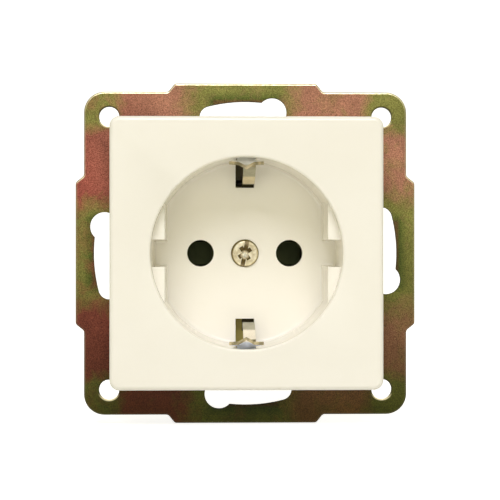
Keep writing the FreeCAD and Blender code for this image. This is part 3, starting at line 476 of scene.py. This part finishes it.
def yellow_chromate():
    """Steel sheet with a yellow chromate film, darker low down as painted shade, with a dark film on its
    sheared faces, and bright zinc on its rolled edges and the corner holes' lower rims that is partly wear
    and partly painted highlight; the holes' upper rims carry a painted shadow.
    """
    finish = Finish("yellow_chromate", Specular_IOR_Level=0.15)
    # Distances from the sheet's two middle lines
    x, z = (finish.size(finish.axis(letter)) for letter in "XZ")
    streak = finish.noise(0.55, rough=0.65, stretch=(1.0, 1.0, 5.0))
    grain = finish.noise(0.24, detail=2.0, rough=0.85)
    tone = film_colour(finish, x, z)
    tone = finish.mix(0.2, tone, finish.ramp(streak, (0.30, 0.6), (0.70, 1.3)), blend="MULTIPLY")
    tone = finish.mix(0.9, tone, finish.ramp(grain, (0.34, 0.40), (0.66, 1.6)), blend="MULTIPLY")
    # Sheared faces carry a dark film, which also paints a shaded line along the sheet's outer edge.
    tone = finish.mix(finish.mark("sheared"), tone, (0.055, 0.045, 0.020))
    # Painted shadow on the corner holes' upper rims, and a painted highlight on their lower rims.
    painted_shadow_rim, painted_glint_rim = hole_rims(finish, x)
    tone = finish.mix(painted_shadow_rim, tone, (0.03, 0.024, 0.008))
    # Rolled edges and the holes' lower rims turn to bright zinc in patches: partly wear, and partly a
    # painted highlight that is strongest high up and on edges that look up.
    wear = finish.remap(finish.noise(0.8), 0.6, 1.0, 0.35, 0.6)
    height = finish.remap(finish.axis("Z"), 0.30, 1.0, -0.8 * SHEET_HALF, 0.6 * SHEET_HALF)
    rub_and_highlight = finish.combine(finish.combine(finish.mark("rolled"), wear), height)
    rub_and_highlight = finish.combine(rub_and_highlight, painted_glint_rim, "MAXIMUM")
    finish.colour(finish.mix(rub_and_highlight, tone, (0.82, 0.73, 0.44)))
    finish.metal(finish.remap(rub_and_highlight, 0.35, 0.95))
    finish.rough(finish.combine(finish.remap(grain, 0.34, 0.56, 0.3, 0.7), finish.remap(rub_and_highlight, 1.0, 0.7)))
    finish.bump(grain, 0.02)
    finish.bump(streak, 0.012)
    return finish.material


def mark_edges(mesh):
    """Marks the ring's rolled and sheared faces, by how far their normals lie along Y.

    Rolled faces are marked more the more they look up, which sets a painted highlight that is partly wear;
    sheared faces carry a dark film that also paints a shaded line along the sheet's outer edge.
    """
    for name, least, most in (("rolled", 0.70, 0.99), ("sheared", 0.0, 0.70)):
        marks = mesh.attributes.new(name, "FLOAT", "FACE")
        for face in mesh.polygons:
            wanted = least <= abs(face.normal.y) < most
            if wanted and name == "rolled":
                # Rolled faces that look up are marked more strongly, for a stronger painted highlight.
                upward = face.normal.z / math.hypot(face.normal.x, face.normal.z)
                marks.data[face.index].value = max(0.1, 0.22 + 0.78 * upward)
            else:
                marks.data[face.index].value = float(wanted)


def mark_cut_faces(mesh):
    """Marks the faces of the clips' heads that look straight out, where the sheet was cut."""
    marks = mesh.attributes.new("cut", "FLOAT", "FACE")
    for face in mesh.polygons:
        marks.data[face.index].value = float(face.normal.y < -0.93 and face.center.y < HEAD_FRONT)


def plated_metal(name, light, dark, stretch=(1.0, 1.0, 8.0), low=0.18, high=0.36, stain=None, painted_shade_band=None,
                 relief=1.0):
    """Plated metal with drawing lines along one axis, darker where the plating is thin.

    A painted shade band is an axis, two places on it and a colour: from the first to the second the metal
    turns to it, as painted shade.
    """
    finish = Finish(name, Metallic=1.0)
    lines = finish.noise(0.16, rough=0.7, stretch=stretch)
    cloud = finish.noise(1.9, detail=4.0, rough=0.6, distortion=0.5)
    tone = finish.ramp(cloud, (0.32, dark), (0.66, light))
    if stain:
        spot = finish.noise(0.8, rough=0.7, shift=(5.0, 2.0, 1.0))
        tone = finish.mix(finish.ramp(spot, (0.58, 0.0), (0.72, 0.75)), tone, stain)
    tone = finish.mix(0.35, tone, finish.ramp(lines, (0.30, 0.55), (0.70, 1.3)), blend="MULTIPLY")
    if painted_shade_band:
        letter, shade_start, shade_full, painted_light_tone = painted_shade_band
        tone = finish.mix(finish.remap(finish.axis(letter), 0.0, 1.0, shade_start, shade_full), tone, painted_light_tone)
    finish.colour(tone)
    finish.rough(finish.remap(lines, low, high, 0.3, 0.7))
    finish.bump(lines, 0.006 * relief)
    finish.bump(finish.noise(0.9, detail=2.0), 0.01 * relief)
    return finish.material


def nickelled_screw():
    """A worn nickel-plated head: golden face, a painted highlight in the middle of its slot and cross with
    painted shade round it, and a painted shaded rim, widest at the upper left.
    """
    low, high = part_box("centre_screw")
    finish = Finish("nickelled_screw", Metallic=0.6)
    face = finish.ramp(finish.noise(1.0), (0.36, (0.70, 0.59, 0.34)), (0.62, (1.0, 0.91, 0.66)))
    x, z = finish.axis("X"), finish.axis("Z")
    from_middle = finish.length(x, finish.combine(z, 0.35 * MM, "ADD"))
    # In the slot and cross: a painted highlight in the middle, painted shade round it, and mid tones at the
    # slot's ends.
    painted_light_tone = finish.ramp(finish.remap(from_middle, 0.0, 1.0, 0.0, high.x), (0.10, (1.0, 0.93, 0.72)),
                       (0.26, (0.62, 0.50, 0.28)), (0.36, (0.13, 0.085, 0.022)),
                       (0.62, (0.15, 0.10, 0.03)), (0.82, (0.42, 0.32, 0.17)))
    blots = finish.ramp(finish.noise(0.5, detail=2.0, distortion=0.8), (0.36, 0.6), (0.64, 1.4))
    painted_light_tone = finish.mix(0.6, painted_light_tone, blots, blend="MULTIPLY")
    # What lies deeper than the head's crown takes that painted tone.
    recess_shade = finish.remap(finish.axis("Y"), 0.0, 1.0, low.y + 0.15 * MM, low.y + 0.45 * MM)
    # The rim is painted dark as painted shade, its middle shifted so that it is widest at the upper left.
    out = finish.length(finish.less(x, 0.10 * MM), finish.combine(z, 0.12 * MM, "ADD"))
    rim = finish.remap(out, 0.0, 1.0, high.x - 0.42 * MM, high.x - 0.12 * MM)
    finish.colour(finish.mix(rim, finish.mix(recess_shade, face, painted_light_tone), (0.17, 0.13, 0.035)))
    grain = finish.noise(0.3, rough=0.7)
    finish.rough(finish.remap(grain, 0.26, 0.38, 0.3, 0.7))
    finish.bump(grain, 0.001)
    return finish.material


def sprung_bronze():
    """Nickel-plated bronze clips: pale heads with golden cut edges, and leaves that turn dark behind.

    The upper head is painted white and the lower one bluish, the upper leaf's front is painted dull and the
    lower leaf's front bright, and the lower leaf's rear dull: all painted reflections.
    """
    finish = Finish("sprung_bronze")
    lines = finish.noise(0.16, rough=0.7, stretch=(1.0, 1.0, 8.0))
    cloud = finish.noise(1.9, detail=4.0, rough=0.6, distortion=0.5)
    plain = finish.ramp(cloud, (0.32, (0.66, 0.56, 0.35)), (0.66, (0.82, 0.72, 0.49)))
    # Near-white and olive-grey are painted reflections: the lower leaf's front is painted bright, the upper
    # leaf's front and the lower leaf's rear dull.
    painted_dull_reflection = finish.ramp(cloud, (0.32, (0.36, 0.34, 0.23)), (0.66, (0.46, 0.44, 0.32)))
    upper = finish.remap(finish.axis("Z"), 0.0, 1.0, -MM, MM)
    leaf = finish.remap(finish.axis("Y"), 0.0, 1.0, -3.4 * MM, -4.4 * MM)
    tone = finish.mix(upper, finish.mix(leaf, painted_dull_reflection, (1.0, 0.93, 0.80)), finish.mix(leaf, plain, painted_dull_reflection))
    tone = finish.mix(0.35, tone, finish.ramp(lines, (0.30, 0.55), (0.70, 1.3)), blend="MULTIPLY")
    # Painted reflections on the heads: white on the upper head and bluish on the lower one.
    head = finish.remap(finish.size(finish.axis("Z")), 0.0, 1.0, HEAD_RISE, HEAD_RISE + 0.4 * MM)
    tone = finish.mix(head, tone, finish.mix(upper, (0.80, 0.84, 1.0), (1.0, 1.0, 1.0)))
    cut_edge = finish.ramp(finish.noise(1.1, detail=2.0), (0.38, (0.25, 0.21, 0.11)),
                           (0.60, (0.58, 0.48, 0.28)))
    tone = finish.mix(finish.mark("cut"), tone, cut_edge)
    behind = finish.remap(finish.axis("Y"), 0.0, 1.0, 0.4 * MM, 1.2 * MM)
    finish.colour(finish.mix(behind, tone, (0.055, 0.045, 0.015)))
    finish.metal(finish.remap(head, 0.65, 0.15))
    finish.rough(finish.remap(lines, 0.34, 0.48, 0.3, 0.7))
    finish.bump(lines, 0.006)
    return finish.material


def dark_thermoset():
    """Brown-black moulding powder: satin, with flow lines and pale filler specks, and a painted pool of
    light behind the lower clip slot.
    """
    finish = Finish("dark_thermoset", Specular_IOR_Level=0.45)
    flow = finish.noise(6.0, detail=5.0, rough=0.6, distortion=1.6)
    tone = finish.ramp(flow, (0.30, (0.075, 0.061, 0.026)), (0.70, (0.125, 0.101, 0.045)))
    filler = finish.ramp(finish.noise(0.25, detail=2.0, rough=0.7), (0.66, 0.0), (0.78, 1.0))
    tone = finish.mix(finish.remap(filler, 0.0, 0.5), tone, (0.12, 0.10, 0.075))
    # Painted pool of light: the base turns pale olive within 4 to 6 mm of the lower clip slot's middle.
    from_slot = finish.length(finish.axis("X"), finish.less(finish.axis("Z"), LOWER_CLIP_SLOT))
    painted_light_pool = finish.remap(from_slot, 1.0, 0.0, 4.0 * MM, 6.0 * MM)
    finish.colour(finish.mix(painted_light_pool, tone, (0.56, 0.46, 0.12)))
    finish.rough(finish.remap(finish.noise(3.0, detail=5.0, rough=0.7), 0.32, 0.55, 0.3, 0.7))
    finish.bump(finish.noise(0.35), 0.012)
    finish.bump(flow, 0.03)
    return finish.material


def pressed_fibre():
    """Grey-brown insulating sheet with short fibres and a dull, slightly furry face."""
    finish = Finish("pressed_fibre", Sheen_Weight=0.15, Sheen_Roughness=0.6)
    fibres = finish.noise(0.35, detail=4.0, rough=0.75, stretch=(5.0, 1.0, 1.0), distortion=2.0)
    crossing = finish.noise(0.35, detail=4.0, rough=0.75, stretch=(1.0, 1.0, 5.0), distortion=2.0,
                            shift=(2.0, 0.0, 5.0))
    weave = finish.combine(fibres, crossing, "MAXIMUM")
    finish.colour(finish.ramp(weave, (0.42, (0.060, 0.050, 0.040)), (0.72, (0.155, 0.132, 0.105))))
    finish.rough(finish.remap(weave, 0.62, 0.9, 0.3, 0.7))
    finish.bump(weave, 0.03)
    return finish.material


# Meshes

def show(mesh, name):
    piece = bpy.data.objects.new(name, mesh)
    bpy.context.scene.collection.objects.link(piece)
    return piece


def smooth_by_angle(bm):
    """Smooth faces, with a sharp edge wherever two faces meet at more than the sharp angle."""
    for face in bm.faces:
        face.smooth = True
    for edge in bm.edges:
        edge.smooth = len(edge.link_faces) == 2 and edge.calc_face_angle(0.0) < math.radians(SHARP_ANGLE)


def node_copy(node, name):
    """A node's solid as one closed mesh, with each flat as a single face."""
    bm = bmesh.new()
    bm.from_mesh(frame["nodes"][node].data)
    bmesh.ops.remove_doubles(bm, verts=bm.verts, dist=MERGE_GAP)
    bmesh.ops.dissolve_limit(bm, angle_limit=math.radians(FLAT_ANGLE), verts=bm.verts, edges=bm.edges)
    smooth_by_angle(bm)
    mesh = bpy.data.meshes.new(name)
    bm.to_mesh(mesh)
    bm.free()
    return mesh


def softened(piece, width):
    """Rounds a piece's sharp edges by a width in millimetres."""
    bevel = piece.modifiers.new("soft_edges", "BEVEL")
    bevel.width = width * MM
    bevel.segments = 2
    bevel.limit_method = "ANGLE"
    bevel.angle_limit = math.radians(SHARP_ANGLE)
    bevel.use_clamp_overlap = True
    bevel.harden_normals = True
    bevel.miter_outer = "MITER_SHARP"


def stand_for(piece, body, slot, *nodes):
    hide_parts(*nodes)
    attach(piece, body)


def dress(node, name, body, slot, material, edge, turn=0.0):
    """A node's own shape with soft edges and a finish. A screw on the Y axis may be turned about it."""
    piece = show(node_copy(node, name), name)
    piece.data.materials.append(material)
    piece.data.transform(Matrix.Rotation(math.radians(turn), 4, "Y"))
    softened(piece, edge)
    stand_for(piece, body, slot, node)
    return piece


# Threaded screws and rivets, set on their places by Geometry Nodes

def new_tree(name, *inputs):
    """A node tree with a geometry input and output, and further named inputs."""
    tree = bpy.data.node_groups.new(name, "GeometryNodeTree")
    tree.interface.new_socket("Geometry", in_out="INPUT", socket_type="NodeSocketGeometry")
    for label, kind, value in inputs:
        socket = tree.interface.new_socket(label, in_out="INPUT", socket_type=kind)
        if value is not None:
            socket.default_value = value
    tree.interface.new_socket("Geometry", in_out="OUTPUT", socket_type="NodeSocketGeometry")
    return tree, tree.nodes.new("NodeGroupInput").outputs, tree.nodes.new("NodeGroupOutput").inputs


def run_tree(tree, mesh, name, **values):
    """The tree's result on a mesh, as a plain mesh."""
    carrier = show(mesh, name + "_places")
    modifier = carrier.modifiers.new(tree.name, "NODES")
    modifier.node_group = tree
    identifiers = {item.name: item.identifier for item in tree.interface.items_tree
                   if item.item_type == "SOCKET" and item.in_out == "INPUT"}
    for label, value in values.items():
        modifier[identifiers[label.replace("_", " ")]] = value
    carrier.update_tag()
    graph = bpy.context.evaluated_depsgraph_get()
    made = bpy.data.meshes.new_from_object(carrier.evaluated_get(graph))
    made.name = name
    bpy.data.objects.remove(carrier)
    return made


def placing_tree():
    """Sets one turned blank on every vertex, each turned about its own axis, with a thread on it."""
    tree, given, out = new_tree(
        "set_on_places",
        ("Blank", "NodeSocketObject", None),
        ("Finish", "NodeSocketMaterial", None),
        ("Turn", "NodeSocketFloat", 0.3),
        ("Seed", "NodeSocketInt", 7),
        ("Core radius", "NodeSocketFloat", 1.22 * MM),
        ("Ridge", "NodeSocketFloat", 0.27 * MM),
        ("Pitch", "NodeSocketFloat", 0.5 * MM),
        ("Thread start", "NodeSocketFloat", 0.0),
        ("Thread length", "NodeSocketFloat", 0.0))
    add, link = tree.nodes.new, tree.links.new

    # The thread: a ridge wound round the core, laid along Y, where a length is given for it
    turns = add("ShaderNodeMath")
    turns.operation = "DIVIDE"
    link(given["Thread length"], turns.inputs[0])
    link(given["Pitch"], turns.inputs[1])
    spiral = add("GeometryNodeCurveSpiral")
    spiral.inputs["Resolution"].default_value = 20
    link(turns.outputs[0], spiral.inputs["Rotations"])
    link(given["Core radius"], spiral.inputs["Start Radius"])
    link(given["Core radius"], spiral.inputs["End Radius"])
    link(given["Thread length"], spiral.inputs["Height"])
    profile = add("GeometryNodeCurvePrimitiveCircle")
    profile.inputs["Resolution"].default_value = 4
    link(given["Ridge"], profile.inputs["Radius"])
    ridge = add("GeometryNodeCurveToMesh")
    ridge.inputs["Fill Caps"].default_value = True
    link(spiral.outputs[0], ridge.inputs["Curve"])
    link(profile.outputs[0], ridge.inputs["Profile Curve"])
    start = add("ShaderNodeCombineXYZ")
    link(given["Thread start"], start.inputs["Y"])
    lie = add("GeometryNodeTransform")
    lie.inputs["Rotation"].default_value = (math.radians(-90.0), 0.0, 0.0)
    link(ridge.outputs[0], lie.inputs["Geometry"])
    link(start.outputs[0], lie.inputs["Translation"])
    threaded = add("FunctionNodeCompare")
    threaded.data_type = "FLOAT"
    threaded.operation = "GREATER_THAN"
    link(given["Thread length"], threaded.inputs["A"])
    wanted = add("GeometryNodeSwitch")
    wanted.input_type = "GEOMETRY"
    link(threaded.outputs[0], wanted.inputs["Switch"])
    link(lie.outputs[0], wanted.inputs["True"])

    # The blank together with its thread
    blank = add("GeometryNodeObjectInfo")
    link(given["Blank"], blank.inputs["Object"])
    whole = add("GeometryNodeJoinGeometry")
    link(blank.outputs["Geometry"], whole.inputs[0])
    link(wanted.outputs[0], whole.inputs[0])

    # One copy on each place, turned about Y by chance
    spin = add("FunctionNodeRandomValue")
    spin.data_type = "FLOAT_VECTOR"
    link(given["Seed"], spin.inputs["Seed"])
    for socket, sign in (("Min", -1.0), ("Max", 1.0)):
        limit = add("ShaderNodeCombineXYZ")
        signed = add("ShaderNodeMath")
        signed.operation = "MULTIPLY"
        signed.inputs[1].default_value = sign
        link(given["Turn"], signed.inputs[0])
        link(signed.outputs[0], limit.inputs["Y"])
        link(limit.outputs[0], spin.inputs[socket])
    copies = add("GeometryNodeInstanceOnPoints")
    link(given["Geometry"], copies.inputs["Points"])
    link(whole.outputs[0], copies.inputs["Instance"])
    link(spin.outputs[0], copies.inputs["Rotation"])
    real = add("GeometryNodeRealizeInstances")
    coat = add("GeometryNodeSetMaterial")
    link(copies.outputs[0], real.inputs[0])
    link(real.outputs[0], coat.inputs["Geometry"])
    link(given["Finish"], coat.inputs["Material"])
    link(coat.outputs[0], out["Geometry"])
    return tree


def node_axis(node):
    """X and Z of a turned part's axis."""
    low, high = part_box(node)
    return (low.x + high.x) / 2, (low.z + high.z) / 2


def places_mesh(nodes):
    mesh = bpy.data.meshes.new("places")
    mesh.from_pydata([(x, 0.0, z) for x, z in map(node_axis, nodes)], [], [])
    return mesh


def blank_from(node, name, edge, shank_span=(0.0, 0.0)):
    """A node's turned shape on the Y axis. Within the span, its shank is slimmed to the thread's core."""
    x, z = node_axis(node)
    start, end = shank_span
    mesh = node_copy(node, name)
    mesh.transform(Matrix.Translation((-x, 0.0, -z)))
    for vertex in mesh.vertices:
        if start < vertex.co.y < end and math.hypot(vertex.co.x, vertex.co.z) < SHANK_REACH:
            vertex.co.x *= CORE_SHARE
            vertex.co.z *= CORE_SHARE
    blank = show(mesh, name)
    softened(blank, edge)
    graph = bpy.context.evaluated_depsgraph_get()
    rounded = bpy.data.meshes.new_from_object(blank.evaluated_get(graph))
    blank.modifiers.clear()
    blank.data = rounded
    return blank


def make_rivets(tree, finish):
    nodes = [f"ring_rivet_{number}" for number in range(1, 5)]
    blank = blank_from(nodes[0], "rivet_blank", edge=0.08)
    mesh = run_tree(tree, places_mesh(nodes), "ring_rivets", Blank=blank, Finish=finish, Turn=3.0, Seed=3)
    bpy.data.objects.remove(blank)
    stand_for(show(mesh, "ring_rivets"), "socket", "rivet_brass", *nodes)


def make_terminal_screws(tree, finish):
    nodes = [f"{pole}_terminal_screw" for pole in ("line", "neutral", "earth")]
    low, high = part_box(nodes[0])
    shank_end = high.y - PAN_HEAD
    blank = blank_from(nodes[0], "terminal_blank", 0.06, (low.y - MM, shank_end - FULL_SHANK))
    thread_start, thread_end = low.y + TIP_GAP, shank_end - TERMINAL_HEAD_GAP
    mesh = run_tree(tree, places_mesh(nodes), "terminal_screws", Blank=blank, Finish=finish, Turn=0.7,
                    Seed=11, Thread_start=thread_start, Thread_length=thread_end - thread_start)
    bpy.data.objects.remove(blank)
    stand_for(show(mesh, "terminal_screws"), "socket", "terminal_screw_steel", *nodes)


def make_claw_screw(tree, side, finish):
    node = f"claw_screw_{side}"
    low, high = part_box(node)
    shank_start = low.y + PAN_HEAD
    blank = blank_from(node, "claw_screw_blank", 0.06, (shank_start + FULL_SHANK, high.y + MM))
    thread_start, thread_end = shank_start + CLAW_HEAD_GAP, high.y - TIP_GAP
    mesh = run_tree(tree, places_mesh([node]), f"{side}_claw_screw", Blank=blank, Finish=finish,
                    Turn=0.5, Seed=5 if side == "left" else 2,
                    Thread_start=thread_start, Thread_length=thread_end - thread_start)
    bpy.data.objects.remove(blank)
    stand_for(show(mesh, f"{side}_claw_screw"), f"{side}_claw_screw", "claw_screw_steel", node)


# The part

def make_part():
    """Every piece, with the width in millimetres by which its edges are softened."""
    zinc = plated_metal("zinc_plate", (0.66, 0.65, 0.60), (0.40, 0.39, 0.36), low=0.26, high=0.46)
    # The contacts turn dark olive from 7 mm below the middle up to 4.5 mm below it, and stay dark above:
    # painted shade inside the pin holes.
    brass = plated_metal("tarnished_brass", (0.74, 0.54, 0.22), (0.46, 0.31, 0.11), low=0.32, high=0.55,
                         stain=(0.22, 0.13, 0.05), painted_shade_band=("Z", -7.0 * MM, -4.5 * MM, (0.19, 0.21, 0.09)))
    dress("centre_plate", "centre_plate_moulding", "socket", "plate_plastic", ivory_thermoset(), 0.25)
    ring = dress("mounting_ring", "mounting_ring_sheet", "socket", "ring_chromate", yellow_chromate(), 0.10)
    mark_edges(ring.data)
    dress("socket_base", "socket_base_moulding", "socket", "base_moulding", dark_thermoset(), 0.15)
    dress("base_cover", "base_cover_sheet", "socket", "cover_sheet", pressed_fibre(), 0.06)
    strap = dress("earth_strap", "earth_strap_stamping", "socket", "clip_metal", sprung_bronze(), 0.08)
    mark_cut_faces(strap.data)
    dress("centre_screw", "centre_screw_turned", "socket", "screw_nickel", nickelled_screw(), 0.06,
          turn=SCREW_TURN)
    for pole in ("line", "neutral"):
        dress(f"{pole}_contact", f"{pole}_contact_stamping", "socket", "contact_brass", brass, 0.06)
        blued = plated_metal(f"{pole}_blued_steel", (0.20, 0.21, 0.25), (0.10, 0.11, 0.14))
        dress(f"{pole}_contact_spring", f"{pole}_contact_clip", "socket", "spring_steel", blued, 0.05)
    clamp = plated_metal("chromated_clamp", (0.62, 0.54, 0.28), (0.42, 0.35, 0.16), low=0.28, high=0.46,
                         stain=(0.45, 0.22, 0.16))
    for pole in ("line", "neutral", "earth"):
        dress(f"{pole}_clamp_plate", f"{pole}_clamp", "socket", "clamp_steel", clamp, 0.12)
    for side in ("left", "right"):
        dress(f"claw_{side}", f"{side}_claw_stamping", f"{side}_claw", "claw_steel", zinc, 0.10)

    tree = placing_tree()
    turned_brass = plated_metal("turned_brass", (0.70, 0.58, 0.34), (0.46, 0.36, 0.18), low=0.26, high=0.44,
                                stretch=(1.0, 1.0, 1.0), stain=(0.25, 0.17, 0.08), relief=0.3)
    make_rivets(tree, turned_brass)
    make_terminal_screws(tree, zinc)
    for side in ("left", "right"):
        make_claw_screw(tree, side, zinc)


bpy.context.scene.view_settings.view_transform = "Standard"
add_camera()
add_light()
add_stage()
make_part()
